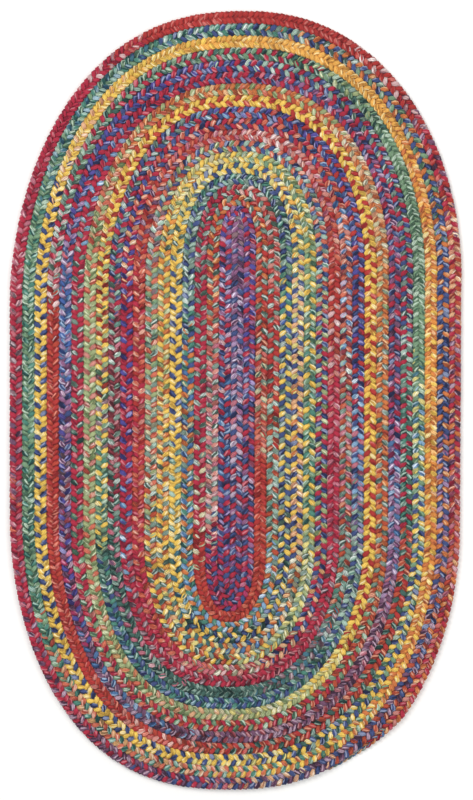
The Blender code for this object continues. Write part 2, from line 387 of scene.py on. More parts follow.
@dataclass(frozen=True)
class RugEnd:
    """How one rounded end changes from the core row out to the rim.

    Attributes:
        side: +1 at the head and -1 at the foot.
        middle_core: Where the half turns beside the core centre, across the rug.
        middle_rim: Where the rim's half turn centres.
        rim_rows: How many rows out the rim is.
        spring_core: Where the rows beside the core begin to turn, from the rug's middle.
        spring_rim: Where the rim begins to turn.
        tip_core: How far out the turns beside the core reach.
        tip_rim: How far out the rim reaches.
        roundness_core: How square the shoulders beside the core are, at -X and at +X:
            2 for an ellipse.
        roundness_rim: How square the rim's shoulders are, at -X and at +X.
        lean: How far the hand-laid rim is pulled towards +X at its tip.
        pitch_core: The width of a row at the tip beside the core.
        spring_power: Under 1, the spring moves soonest beside the core.
    """

    side: int
    middle_core: float
    middle_rim: float
    rim_rows: float
    spring_core: float
    spring_rim: float
    tip_core: float
    tip_rim: float
    roundness_core: tuple[float, float]
    roundness_rim: tuple[float, float]
    lean: float
    pitch_core: float = 0.0157
    spring_power: float = 0.44

    def line(self, rows: float | np.ndarray, turned: np.ndarray, row: float) -> np.ndarray:
        """Follow the half turn that lies some rows out.

        Args:
            rows: How many rows out from the core, for all angles or for each.
            turned: Angles in radians, from 0 at +X to pi at -X.
            row: The width of a row on the straight sides.

        Returns:
            One x, y point for each angle.
        """
        share = rows / self.rim_rows
        spring = blend(self.spring_core, self.spring_rim, share**self.spring_power)
        growth = self.tip_rim - self.tip_core - self.pitch_core * self.rim_rows
        reach = self.tip_core + self.pitch_core * rows + growth * share**2 - spring
        left, right = (
            blend(core, rim, share)
            for core, rim in zip(self.roundness_core, self.roundness_rim, strict=True)
        )
        across = np.cos(turned)
        across = np.copysign(np.abs(across) ** (2 / np.where(across > 0, right, left)), across)
        outward = np.sin(turned)
        middle = blend(self.middle_core, self.middle_rim, share)
        x = middle + rows * row * across + self.lean * share * outward
        return np.stack([x, self.side * (spring + reach * outward)], axis=1)


@dataclass(frozen=True)
class BraidRoute:
    """The middle line of the braid, from its first end in the core to its last on the rim.

    Attributes:
        width: The width of the rug.
        laps: How many laps go round the core row.
        turn_steps: How many points a half turn is worked out at.
        last_turned: How far round the foot the last end reaches, in radians.
        full_until: Up to where it keeps its width there, in radians.
        last_rows: How wide the last run lies, in rows.
        first_end: How far the strands stop short of the rounded first end.
    """

    width: float = 0.686
    laps: int = 18
    turn_steps: int = 120
    last_turned: float = math.radians(67.5)
    full_until: float = math.radians(45.0)
    last_rows: float = 0.9
    first_end: float = 0.006

    @property
    def row(self) -> float:
        """The width of a row on the straight sides."""
        return self.width / (2 * self.laps + 1)

    @property
    def head(self) -> RugEnd:
        """The rounded end at +Y."""
        return RugEnd(
            side=1,
            middle_core=0.0037,
            middle_rim=0.0,
            rim_rows=self.laps + 0.5,
            spring_core=0.2655,
            spring_rim=0.1637,
            tip_core=0.2726,
            tip_rim=0.5916,
            roundness_core=(2.90, 2.54),
            roundness_rim=(2.44, 2.13),
            lean=0.0178,
        )

    @property
    def foot(self) -> RugEnd:
        """The rounded end at -Y."""
        return RugEnd(
            side=-1,
            middle_core=-self.row / 2,
            middle_rim=-self.row / 2,
            rim_rows=self.laps,
            spring_core=0.2785,
            spring_rim=0.1832,
            tip_core=0.2895,
            tip_rim=0.5916,
            roundness_core=(2.90, 2.10),
            roundness_rim=(2.56, 2.30),
            lean=0.0060,
        )

    def start(self, lap: int, side: int) -> np.ndarray:
        """Where a lap begins.

        Args:
            lap: Which lap, the core row being 0.
            side: -1 for its inner edge and +1 for its outer one.

        Returns:
            One x, y point, at the head's +X end or, for the core row, at its tip.
        """
        if lap == 0:
            tip = self.head.line(0.5, np.array([math.pi / 2]), self.row)
            return tip + [side * self.row / 2, -self.first_end]
        return self.head.line(lap + side / 2, np.zeros(1), self.row)

    def edges(self, lap: int) -> tuple[np.ndarray, np.ndarray, list[int]]:
        """The braid's inner and outer edge on one lap.

        Args:
            lap: Which lap, the core row being 0.

        Returns:
            The inner edge, the outer edge, and the index of the first point of the
            foot turn, the left side and the head turn.
        """
        steps = self.turn_steps
        inner, outer = [self.start(lap, -1)], [self.start(lap, 1)]
        if lap == self.laps:
            turned = np.linspace(0.0, self.last_turned, steps // 2 + 1)
            left = (self.last_turned - turned) / (self.last_turned - self.full_until)
            wide = self.last_rows * np.clip(left, 0.0, 1.0)
            inner.append(self.foot.line(lap, turned, self.row))
            outer.append(self.foot.line(lap + wide, turned, self.row))
            end = 1 + len(turned)
            firsts = [1, end, end]
        else:
            turned = np.linspace(0.0, math.pi, steps + 1)
            for edge, out in ((inner, 0.0), (outer, 1.0)):
                edge.append(self.foot.line(lap + out, turned, self.row))
                edge.append(self.head.line(lap + out + 0.5, turned[::-1], self.row))
            firsts = [1, 1 + steps, 2 + steps]
        return np.concatenate(inner), np.concatenate(outer), firsts


@dataclass
class BraidLine:
    """The braid's middle line with what lies at each of its points.

    Attributes:
        place: One x, y point for each station.
        along: The distance from the first end to each station.
        wide: The row's width at each station.
        legs: Where each leg of each lap begins, as a distance along the braid.
        length: The whole length of the braid.
    """

    place: np.ndarray
    along: np.ndarray
    wide: np.ndarray
    legs: dict[tuple[int, Leg], float]
    length: float

    @classmethod
    def of(cls, route: BraidRoute) -> "BraidLine":
        """Measure a route from end to end.

        Args:
            route: The way that the braid runs.

        Returns:
            The measured line.
        """
        places, widths, starts = [], [], {}
        count = 0
        for lap in range(route.laps + 1):
            inner, outer, firsts = route.edges(lap)
            middle = (inner + outer) / 2
            way = np.gradient(middle, axis=0)
            way /= np.linalg.norm(way, axis=1, keepdims=True)
            gap = outer - inner
            for leg, first in zip(Leg, [0, *firsts], strict=True):
                starts[lap, leg] = count + first
            places.append(middle)
            widths.append(np.abs(gap[:, 0] * way[:, 1] - gap[:, 1] * way[:, 0]))
            count += len(middle)
        place = np.concatenate(places)
        wide = np.concatenate(widths)
        steps = np.linalg.norm(np.diff(place, axis=0), axis=1)
        along = np.concatenate([[0.0], np.cumsum(steps)])
        last = len(along) - 1
        legs = {key: float(along[min(first, last)]) for key, first in starts.items()}
        return cls(place, along, wide, legs, float(along[-1]))

    def joins(self, chart: tuple[LegYarns, ...]) -> list[tuple[float, Yarn]]:
        """Measure where a strand changes yarn.

        Args:
            chart: The strand's dye chart.

        Returns:
            How far from the first end each change lies, and the yarn from there on.
        """
        found = []
        for lap, leg, yarns in chart:
            start = self.legs[lap, leg]
            if leg is HEAD:
                stop = self.legs[lap + 1, RIGHT]
            else:
                stop = self.legs[lap, Leg(leg.value + 1)]
            found += [(blend(start, stop, share), yarn) for share, yarn in yarns.items()]
        return found

    def at(self, along: np.ndarray) -> tuple[np.ndarray, np.ndarray, np.ndarray]:
        """Read the line at some distances.

        Args:
            along: Distances from the first end, in metres.

        Returns:
            The places, the unit vectors to the braid's left, and the row's widths.
        """
        place = np.stack([np.interp(along, self.along, self.place[:, k]) for k in (0, 1)], 1)
        way = np.gradient(place, axis=0)
        way /= np.linalg.norm(way, axis=1, keepdims=True)
        left = np.stack([-way[:, 1], way[:, 0]], axis=1)
        return place, left, np.interp(along, self.along, self.wide)


# ---------------------------------------------------------------- the strands


@dataclass(frozen=True)
class Plait:
    """How the three strands lie in the braid, and how thick they are.

    Attributes:
        strands: How many strands are plaited.
        pitch: How far a strand runs from one side to the other and back.
        sections: How many sections a strand is given in one pitch, a multiple of 4.
        reach: How far a strand swings from the row's middle.
        straightness: How nearly it runs straight from edge to edge: 0 for a sine.
        lift: How far it rises and dips.
        flatness: How flat its crests and troughs are: 0 for a sine.
        lag: How far its rise comes behind its swing, in radians, which lays its crests
            near the edges and leaves the middle low.
        half_width: Half the width of a strand, which lies a little flattened.
        half_height: Half its height.
        pinch: How much thinner it is where it dives in the row's middle than at the
            edges, as a share.
        regained: How much of that it is fuller than usual at the edges, as a share.
        squareness: 2 for an oval section, and more for a boxier one.
        sides: How many sides its section has.
        height: The thickness of the braid.
        edge: How far from a row's middle the strands reach, where they are pressed
            against the next row and the rim is ironed smooth.
        loose: Up to which share of that they keep their own shape.
        unevenness: How unlike each other the hand-pulled stitches are, as a share.
        seed: The seed of that unevenness.
    """

    strands: int = 3
    pitch: float = 23.9 * MM
    sections: int = 12
    reach: float = 6.8 * MM
    straightness: float = 0.08
    lift: float = 2.3 * MM
    flatness: float = 0.5
    lag: float = 0.14
    half_width: float = 3.6 * MM
    half_height: float = 2.35 * MM
    pinch: float = 0.6
    regained: float = 0.15
    squareness: float = 4.0
    sides: int = 8
    height: float = 9.5 * MM
    edge: float = 10.0 * MM
    loose: float = 0.95
    unevenness: float = 0.08
    seed: int = 7

    def section(self) -> bpy.types.Object:
        """Make the closed oval that is swept along a strand, its seam underneath.

        Returns:
            A flat curve, in no collection.
        """
        curve = bpy.data.curves.new("strand_section", "CURVE")
        curve.dimensions = "2D"
        oval = curve.splines.new("POLY")
        oval.points.add(self.sides - 1)
        turned = self.round_section()
        corners = []
        for size, share in ((self.half_width, np.cos(turned)), (self.half_height, np.sin(turned))):
            corners.append(size * np.copysign(np.abs(share) ** (2 / self.squareness), share))
        for point, x, y in zip(oval.points, *corners, strict=True):
            point.co = (x, y, 0.0, 1.0)
        oval.use_cyclic_u = True
        return bpy.data.objects.new("strand_section", curve)

    def round_section(self) -> np.ndarray:
        """The angles of the section's corners, the first one straight down."""
        return -math.pi / 2 + 2 * math.pi * np.arange(self.sides) / self.sides

    def swing(self, phase: np.ndarray) -> np.ndarray:
        """How far out a strand lies at a place in the pitch, from -1 to 1."""
        wave = np.sin(phase) - self.straightness * np.sin(3 * phase)
        return wave / (1 + self.straightness)

    def rise(self, phase: np.ndarray) -> np.ndarray:
        """How high a strand lies at a place in the pitch, from -1 to 1."""
        wave = np.sin(2 * (phase - self.lag))
        return wave / np.sqrt(1 - self.flatness + self.flatness * wave**2)

    def girth(self, phase: np.ndarray) -> np.ndarray:
        """How thick a strand is at a place in the pitch, against its usual size."""
        return 1 + self.pinch * (self.regained - (1 - np.abs(np.sin(phase))) ** 2)

    def pressed(self, across: np.ndarray, narrow: np.ndarray) -> np.ndarray:
        """Squeeze what reaches past the row's edges back inside them.

        Args:
            across: How far from the row's middle some points lie.
            narrow: The row's width there, as a share of the usual one.

        Returns:
            How far from it they lie once the rows are laced together.
        """
        free = self.edge * self.loose * narrow
        room = self.edge * narrow - free
        over = np.maximum(np.abs(across) - free, 0.0)
        held = np.minimum(np.abs(across), free) + room * (1 - np.exp(-over / room))
        return np.copysign(held, across)


@dataclass
class StrandPath:
    """One strand of the braid, section by section.

    Attributes:
        place: The middle of each section.
        middle: The row's middle beside each section, as x, y points.
        left: The unit vector to the braid's left there.
        narrow: The row's width there, as a share of the usual one.
        size: How large each section is against the usual one.
        rise: How high it lies in the plait, from -1 to 1.
        down_braid: How far down the braid it lies.
        along: How far along the strand it lies.
        nearly: How much higher than the lowest a section counts as lying as low.
    """

    place: np.ndarray
    middle: np.ndarray
    left: np.ndarray
    narrow: np.ndarray
    size: np.ndarray
    rise: np.ndarray
    down_braid: np.ndarray
    along: np.ndarray
    nearly: float = 0.01

    def underneath(self) -> np.ndarray:
        """The sections that lie at the bottom of the plait, where a join can hide."""
        return np.flatnonzero(self.rise < self.rise.min() + self.nearly)

    def nearest_underneath(self, section: float) -> int:
        """The lowest-lying section that is nearest to some place on the strand."""
        hidden = self.underneath()
        return int(hidden[np.abs(hidden - section).argmin()])


def slow_change(rng: np.random.Generator, count: int, every: int) -> np.ndarray:
    """Random values that change smoothly.

    Args:
        rng: The source of the values.
        count: How many values.
        every: How many values lie between two turning points.

    Returns:
        Values from -1 to 1.
    """
    knots = rng.uniform(-1.0, 1.0, count // every + 2)
    at = np.arange(count) / every
    left = at.astype(int)
    share = smooth_step(at - left)
    return knots[left] * (1 - share) + knots[left + 1] * share


@dataclass
class Braid:
    """The braid's strands, worked out from its middle line.

    Attributes:
        line: The braid's middle line.
        plait: How the strands lie in it.
        row: The usual width of a row.
        end_taper: The length over which the first end closes up.
        end_reach: How far the strands swing at its tip, against their usual reach.
        end_size: How thick they are there, against their usual size.
        thinnest: How thin the last end gets, as a share of the usual width.
        lowers: Under which share of the usual width the braid gets lower as well.
        pull_pitches: How many pitches are braided before the pull changes.
        pull: How uneven that pull is, against the unevenness of the stitches.
    """

    line: BraidLine
    plait: Plait
    row: float
    end_taper: float = 14 * MM
    end_reach: float = 0.45
    end_size: float = 0.8
    thinnest: float = 0.3
    lowers: float = 0.8
    pull_pitches: int = 14
    pull: float = 1.2

    def down_braid(self) -> np.ndarray:
        """Place the sections, a little closer where the braid was pulled tight.

        Returns:
            How far down the braid each section of a strand lies.
        """
        plait = self.plait
        count = round(self.line.length / plait.pitch) * plait.sections
        rng = np.random.default_rng(plait.seed)
        long_pull = slow_change(rng, count, self.pull_pitches * plait.sections)
        pull = 1 + self.pull * plait.unevenness * long_pull
        pull += plait.unevenness * slow_change(rng, count, plait.sections)
        along = np.concatenate([[0.0], np.cumsum(pull)])
        return along * (self.line.length / along[-1])

    def strand(self, number: int) -> StrandPath:
        """Follow one strand through the whole braid.

        Args:
            number: Which strand, from 0.

        Returns:
            Its sections.
        """
        plait = self.plait
        down = self.down_braid()
        count = len(down)
        middle, left, wide = self.line.at(down)
        start = 2 * math.pi * number / plait.strands
        phase = start + 2 * math.pi * (np.arange(count) + 0.5) / plait.sections
        height = plait.rise(phase)
        rng = np.random.default_rng(plait.seed + 1 + number)
        stitch = plait.sections // 2
        plump = 1 + plait.unevenness * slow_change(rng, count, stitch)
        swing = 1 + plait.unevenness * slow_change(rng, count, stitch)
        rise = 1 + plait.unevenness * slow_change(rng, count, stitch)
        narrow = np.maximum(wide / self.row, self.thinnest)
        opening = smooth_step(down / self.end_taper)
        reach = plait.reach * narrow * swing * blend(self.end_reach, 1.0, opening)
        across = reach * plait.swing(phase)
        size = narrow * plump * plait.girth(phase) * blend(self.end_size, 1.0, opening)
        low = np.clip(narrow / self.lowers, 0.0, 1.0)
        z = plait.height / 2 * low + plait.lift * low * rise * height
        z = np.maximum(z, plait.half_height * size)
        place = np.column_stack([middle + left * across[:, None], z])
        steps = np.linalg.norm(np.diff(place, axis=0), axis=1)
        along = np.concatenate([[0.0], np.cumsum(steps)])
        return StrandPath(place, middle, left, narrow, size, height, down, along)


# ---------------------------------------------------------------- the finish


def add_node(
    tree: bpy.types.NodeTree,
    kind: str,
    links: dict[str | int, object] | None = None,
    **settings: object,
) -> bpy.types.Node:
    """Add a shader node.

    Args:
        tree: The node tree that it goes into.
        kind: Blender's name for the node's type.
        links: What each input gets: an output socket to link, or a value.
        **settings: The node's own properties.

    Returns:
        The new node.
    """
    node = tree.nodes.new(kind)
    for key, value in settings.items():
        setattr(node, key, value)
    for key, value in (links or {}).items():
        if isinstance(value, Socket):
            tree.links.new(value, node.inputs[key])
        else:
            node.inputs[key].default_value = value
    return node


def arithmetic(
    tree: bpy.types.NodeTree, operation: str, *values: Socket | float, use_clamp: bool = False
) -> Socket:
    """Add a math node.

    Args:
        tree: The node tree that it goes into.
        operation: Blender's name for the operation.
        *values: Its inputs in their order, output sockets or numbers.
        use_clamp: Whether to hold the result between 0 and 1.

    Returns:
        The result's socket.
    """
    links = dict(enumerate(values))
    node = add_node(tree, "ShaderNodeMath", links, operation=operation, use_clamp=use_clamp)
    return node.outputs[0]


@dataclass(frozen=True)
class WoolBundle:
    """Soft wool yarns laid side by side in one strand.

    Every yarn in the bundle has one dye for a while, so a strand of mixed dyes shows
    fine streaks that run along it. The bundle rolls a little on its way, which brings
    other yarns to the top. Loose fibres blur the edges, and leave a faint pale bloom
    where the light grazes the strand.

    Attributes:
        name: The material's name.
        yarns: How many yarns lie round the strand.
        skin: How far the strand's skin is from its middle, in metres.
        roll: How far the bundle rolls to and fro, in yarns.
        roll_length: The length of strand from one roll to the next, in metres.
        splice: The length over which a yarn keeps its dye, in metres.
        unalike: How far apart two neighbouring yarns lie in the pattern of their dyes.
        lots: The values of that pattern which the dyes are shared out between.
        sharpness: How sharply one dye gives way to the next.
        ply: The distance from one ply to the next along a yarn, in metres.
        fibre: The spacing of the tufts, in metres. A wool fibre is 0.03 mm thick, too
            fine to show, so tufts of them are drawn instead.
        drawn_out: How many times further apart the tufts are along the strand.
        stray: How far the fibres stray from their yarn, in yarns.
        ridge: How far a yarn stands out of the strand, in metres.
        ply_height: How far its plies stand out, against the yarn itself.
        tuft_height: How far its tufts do.
        relief: How strongly all of these shade the strand.
        gap: How dark the painted shade between two yarns of a wholly mixed strand is.
        fleck: How uneven the fibres of a wholly mixed strand are.
    """

    name: str = "wool_yarns_in_a_soft_bundle"
    yarns: int = 9
    skin: float = 3.0 * MM
    roll: float = 4.0
    roll_length: float = 25.0 * MM
    splice: float = 30.0 * MM
    unalike: float = 7.3
    lots: tuple[float, float] = (0.3, 0.7)
    sharpness: float = 8.0
    ply: float = 2.4 * MM
    fibre: float = 1.1 * MM
    drawn_out: float = 2.5
    stray: float = 0.5
    ridge: float = 0.6 * MM
    ply_height: float = 0.15
    tuft_height: float = 0.5
    relief: float = 0.6
    gap: float = 0.7
    fleck: float = 1.1

    def material(self) -> bpy.types.Material:
        """Build the material.

        Returns:
            A material that reads the dyes and the place along the strand from the
            mesh's attributes.
        """
        material = bpy.data.materials.new(self.name)
        material.use_nodes = True
        tree = material.node_tree
        tree.nodes.clear()
        where = add_node(tree, "ShaderNodeAttribute", attribute_name="strand_place")
        part = add_node(tree, "ShaderNodeSeparateXYZ", {0: where.outputs["Vector"]})
        along, across, up = part.outputs
        fibres = self.tufts(tree, along, across, up)
        place = self.place_in_bundle(tree, along, across, up, fibres)
        crest = self.crest(tree, place)
        colour = self.colour(tree, along, place, crest, fibres)
        height = self.height(tree, along, place, crest, fibres)
        bump = add_node(
            tree,
            "ShaderNodeBump",
            {"Height": height, "Distance": self.ridge, "Strength": self.relief},
        )
        shader = add_node(
            tree,
            "ShaderNodeBsdfPrincipled",
            {
                "Base Color": colour,
                "Roughness": 0.92,
                "IOR": 1.54,
                "Specular IOR Level": 0.2,
                "Sheen Weight": 0.12,
                "Sheen Roughness": 0.5,
                "Normal": bump.outputs["Normal"],
            },
        )
        add_node(tree, "ShaderNodeOutputMaterial", {"Surface": shader.outputs["BSDF"]})
        return material

    def tufts(self, tree: bpy.types.NodeTree, *place: Socket) -> Socket:
        """Draw tufts of fibres, longer along the strand than across it.

        Args:
            tree: The node tree that they go into.
            *place: The place along the strand, and its two directions round the bundle.

        Returns:
            The socket of how bright a tuft is, mostly near 0.5.
        """
        around = self.skin / self.fibre
        scales = (1 / (self.drawn_out * self.fibre), around, around)
        parts = [arithmetic(tree, "MULTIPLY", *pair) for pair in zip(place, scales, strict=True)]
        point = add_node(tree, "ShaderNodeCombineXYZ", dict(enumerate(parts)))
        noise = add_node(
            tree,
            "ShaderNodeTexNoise",
            {"Vector": point.outputs[0], "Scale": 1.0, "Detail": 2.0, "Roughness": 0.6},
        )
        return noise.outputs["Fac"]

    def place_in_bundle(
        self, tree: bpy.types.NodeTree, along: Socket, across: Socket, up: Socket, fibres: Socket
    ) -> Socket:
        """Find where a point lies round the bundle.

        Args:
            tree: The node tree that this goes into.
            along: How far along the strand the point lies.
            across: Its direction from the strand's middle, sideways.
            up: Its direction from there, upwards.
            fibres: The tufts.

        Returns:
            The socket of its place, counted in yarns.
        """
        roll = add_node(
            tree,
            "ShaderNodeTexNoise",
            {"W": arithmetic(tree, "DIVIDE", along, self.roll_length), "Scale": 1.0, "Detail": 0.0},
            noise_dimensions="1D",
        )
        turned = arithmetic(tree, "ARCTAN2", up, across)
        place = arithmetic(tree, "MULTIPLY", turned, self.yarns / (2 * math.pi))
        place = arithmetic(tree, "MULTIPLY_ADD", roll.outputs["Fac"], self.roll, place)
        place = arithmetic(tree, "MULTIPLY_ADD", fibres, self.stray, place)
        return arithmetic(tree, "WRAP", place, float(self.yarns), 0.0)

    def crest(self, tree: bpy.types.NodeTree, place: Socket) -> Socket:
        """Round the yarns' tops.

        Args:
            tree: The node tree that this goes into.
            place: The place round the bundle, in yarns.

        Returns:
            The socket of how far the yarn stands out: 1 along its top, 0 between two.
        """
        within = arithmetic(tree, "MULTIPLY_ADD", arithmetic(tree, "FRACT", place), 2.0, -1.0)
        square = arithmetic(tree, "MULTIPLY", within, within)
        return arithmetic(tree, "SUBTRACT", 1.0, square)

    def colour(
        self, tree: bpy.types.NodeTree, along: Socket, place: Socket, crest: Socket, fibres: Socket
    ) -> Socket:
        """Dye each yarn, with painted shade between two yarns, and uneven among the fibres.

        Half of the mix are deep yarns and half are pale ones.

        Args:
            tree: The node tree that this goes into.
            along: How far along the strand the point lies.
            place: Its place round the bundle, in yarns.
            crest: How far the yarn stands out there.
            fibres: The tufts.

        Returns:
            The colour's socket.
        """
        dye, deep, pale, mix = (
            add_node(tree, "ShaderNodeAttribute", attribute_name=name)
            for name in ("yarn_dye", "yarn_deep", "yarn_pale", "yarn_mix")
        )
        which = arithmetic(tree, "FLOOR", place)
        point = add_node(
            tree,
            "ShaderNodeCombineXYZ",
            {
                0: arithmetic(tree, "MULTIPLY", which, self.unalike),
                1: arithmetic(tree, "DIVIDE", along, self.splice),
            },
        )
        batch = add_node(
            tree,
            "ShaderNodeTexNoise",
            {"Vector": point.outputs[0], "Scale": 1.0, "Detail": 1.0, "Roughness": 0.6},
            noise_dimensions="2D",
        )
        lowest, highest = self.lots
        lot = add_node(
            tree,
            "ShaderNodeMapRange",
            {"Value": batch.outputs["Fac"], "From Min": lowest, "From Max": highest},
        )
        half = arithmetic(tree, "MULTIPLY", mix.outputs["Fac"], 0.5)
        colour = dye.outputs["Color"]
        for other, distance in (
            (deep, lot.outputs["Result"]),
            (pale, arithmetic(tree, "SUBTRACT", 1.0, lot.outputs["Result"])),
        ):
            short = arithmetic(tree, "SUBTRACT", half, distance)
            shown = arithmetic(tree, "MULTIPLY_ADD", short, self.sharpness, 0.5, use_clamp=True)
            mixed = add_node(
                tree,
                "ShaderNodeMix",
                {"Factor": shown, 6: colour, 7: other.outputs["Color"]},
                data_type="RGBA",
            )
            colour = mixed.outputs[2]
        # painted shade: the colour gets darker in the valleys between yarns, more so the more mixed
        # the strand is
        depth = arithmetic(tree, "SUBTRACT", crest, 1.0)
        gap = arithmetic(tree, "MULTIPLY", mix.outputs["Fac"], self.gap)
        painted_gap_shade = arithmetic(tree, "MULTIPLY_ADD", depth, gap, 1.0)
        uneven = arithmetic(tree, "MULTIPLY_ADD", fibres, 2.0, -1.0)
        fleck = arithmetic(tree, "MULTIPLY", mix.outputs["Fac"], self.fleck)
        tuft = arithmetic(tree, "MULTIPLY_ADD", uneven, fleck, 1.0)
        shade = arithmetic(tree, "MULTIPLY", painted_gap_shade, tuft)
        shaded = add_node(
            tree, "ShaderNodeVectorMath", {0: colour, 1: shade}, operation="MULTIPLY"
        )
        return shaded.outputs[0]

    def height(
        self, tree: bpy.types.NodeTree, along: Socket, place: Socket, crest: Socket, fibres: Socket
    ) -> Socket:
        """Raise the yarns' round tops, with their plies and tufts.

        Args:
            tree: The node tree that this goes into.
            along: How far along the strand the point lies.
            place: Its place round the bundle, in yarns.
            crest: How far the yarn stands out there.
            fibres: The tufts.

        Returns:
            The height's socket, in ridges.
        """
        turns = arithmetic(tree, "MULTIPLY", along, 2 * math.pi / self.ply)
        twisted = arithmetic(tree, "MULTIPLY_ADD", place, math.pi, turns)
        plies = arithmetic(tree, "SINE", twisted)
        height = arithmetic(tree, "MULTIPLY_ADD", plies, self.ply_height, crest)
        return arithmetic(tree, "MULTIPLY_ADD", fibres, self.tuft_height, height)


# ---------------------------------------------------------------- the rug


# The columns of a strand's dyes, section by section.
DYE, DEEP, PALE = slice(0, 3), slice(3, 6), slice(6, 9)
MIX = 9


@dataclass
class BraidedRug:
    """The whole rug: three strands, each in an inner and an outer length.

    Attributes:
        route: The way that the braid runs.
        plait: How the strands lie in it.
        wool: The finish of the yarn.
        charts: The dye chart of each strand.
        uneven_dye: How much lighter or darker a stitch can be, as a share.
        uneven_mix: How much more or less mixed it can be, as a share.
        dye_seed: The seed of both.
        splice_stitches: How many stitches on either side of a join already have, or
            still have, some yarns of the other dye.
        splice_mix: How mixed the strand is there.
        darken: How much darker than their dye the deep yarns are in the bundle.
        whiten: How much paler than their dye the pale yarns are on top of it.
        map_rows: How many rows a length fills on its own map.
        map_margin: How much of a row is left free on either side, as a share of it.
        end_places: How far across the map its first and its last end lie, in the row
            above the others.
        end_size: Half the width of an end there, as a share of the map's, and half its
            height, in rows.
    """

    route: BraidRoute
    plait: Plait
    wool: WoolBundle
    charts: tuple[tuple[LegYarns, ...], ...]
    uneven_dye: float = 0.10
    uneven_mix: float = 0.45
    dye_seed: int = 107
    splice_stitches: int = 3
    splice_mix: float = 0.65
    darken: float = 0.10
    whiten: float = 0.08
    map_rows: int = 44
    map_margin: float = 0.04
    end_places: tuple[float, float] = (0.35, 0.65)
    end_size: tuple[float, float] = (0.01, 0.4)

    def build(self) -> list[bpy.types.Object]:
        """Make all the lengths of strand.

        Returns:
            The inner lengths, then the outer ones.
        """
        line = BraidLine.of(self.route)
        braid = Braid(line, self.plait, self.route.row)
        log.info("the braid is %.2f m long", line.length)
        material = self.wool.material()
        section = self.plait.section()
        inner, outer = [], []
        for number, chart in enumerate(self.charts):
            path = braid.strand(number)
            yarns = self.yarns_of(path, line.joins(chart))
            cut = path.nearest_underneath(len(path.along) / 2)
            for lengths, name, first, last in (
                (inner, "inner", 0, cut),
                (outer, "outer", cut, len(path.along) - 1),
            ):
                piece = self.length_of_strand(
                    f"strand_{number + 1}_{name}", path, yarns, slice(first, last + 1), section
                )
                piece.data.materials.append(material)
                lengths.append(piece)
                log.info("%s has %d faces", piece.name, len(piece.data.polygons))
        bpy.data.objects.remove(section)
        return inner + outer

    def yarns_of(self, path: StrandPath, joins: list[tuple[float, Yarn]]) -> np.ndarray:
        """The dyes of a strand, section by section.

        Args:
            path: The strand.
            joins: How far down the braid it changes yarn, and the yarn from there on.

        Returns:
            For each section the three dyes and the mix, in the columns named above.
        """
        rng = np.random.default_rng(self.dye_seed)
        count = len(path.along)
        rows = np.zeros((count, MIX + 1))
        stitch = self.plait.sections // 2
        reach = self.splice_stitches * stitch
        before = None
        for down_braid, yarn in joins:
            section = np.searchsorted(path.down_braid, down_braid)
            first = path.nearest_underneath(section) if section else 0
            dye = np.array(srgb(yarn.dye)[:3])
            deep = np.array(srgb(yarn.deep)[:3]) * (1 - self.darken)
            pale = np.array(srgb(yarn.pale)[:3])
            pale += (1 - pale) * self.whiten
            rows[first:] = [*dye, *deep, *pale, yarn.mix]
            if before is not None:
                rows[first - reach : first, PALE] = dye
                rows[first : first + reach, DEEP] = before
                rows[first - reach : first + reach, MIX] = self.splice_mix
            before = dye
        start = int(path.underneath()[0])
        number = (np.arange(count) + stitch - start) // stitch
        bright = 1 + self.uneven_dye * rng.uniform(-1, 1, number[-1] + 1)
        mixed = 1 + self.uneven_mix * rng.uniform(-1, 1, number[-1] + 1)
        rows[:, :MIX] *= bright[number, None]
        rows[:, MIX] *= mixed[number]
        return rows

    def length_of_strand(
        self,
        name: str,
        path: StrandPath,
        yarns: np.ndarray,
        part: slice,
        section: bpy.types.Object,
    ) -> bpy.types.Object:
        """Sweep the section along one length of a strand, and close its ends.

        Args:
            name: The piece's name.
            path: The whole strand.
            yarns: Its dyes, section by section.
            part: Which sections this length has.
            section: The oval that is swept.

        Returns:
            The piece.
        """
        curve = bpy.data.curves.new(name, "CURVE")
        curve.dimensions = "3D"
        curve.twist_mode = "Z_UP"
        spline = curve.splines.new("POLY")
        places = path.place[part]
        spline.points.add(len(places) - 1)
        weighted = np.column_stack([places, np.ones(len(places))])
        spline.points.foreach_set("co", weighted.astype(np.float32).ravel())
        spline.points.foreach_set("radius", path.size[part].astype(np.float32))
        curve.bevel_mode = "OBJECT"
        curve.bevel_object = section
        guide = bpy.data.objects.new(f"{name}_guide", curve)
        bpy.context.scene.collection.objects.link(guide)
        graph = bpy.context.evaluated_depsgraph_get()
        mesh = bpy.data.meshes.new_from_object(guide.evaluated_get(graph))
        bpy.data.objects.remove(guide)
        bpy.data.curves.remove(curve)

        mesh.name = name
        mesh.materials.clear()
        self.press(mesh, path, part)
        self.close_ends(mesh)
        mesh.shade_smooth()
        self.note_yarns(mesh, path.along[part], yarns[part])
        self.lay_out(mesh, len(places) - 1)
        piece = bpy.data.objects.new(name, mesh)
        bpy.context.scene.collection.objects.link(piece)
        return piece

    def press(self, mesh: bpy.types.Mesh, path: StrandPath, part: slice) -> None:
        """Press a swept strand flat where it meets the edges of its row.

        Args:
            mesh: The swept strand, ring after ring.
            path: The whole strand.
            part: Which sections this length has.
        """
        sides = self.plait.sides
        points = np.zeros(3 * len(mesh.vertices), np.float32)
        mesh.vertices.foreach_get("co", points)
        points = points.reshape(-1, 3)
        middle = np.repeat(path.middle[part], sides, axis=0)
        left = np.repeat(path.left[part], sides, axis=0)
        narrow = np.repeat(path.narrow[part], sides)
        across = ((points[:, :2] - middle) * left).sum(axis=1)
        pressed = self.plait.pressed(across, narrow)
        points[:, :2] += left * (pressed - across)[:, None]
        mesh.vertices.foreach_set("co", points.ravel())

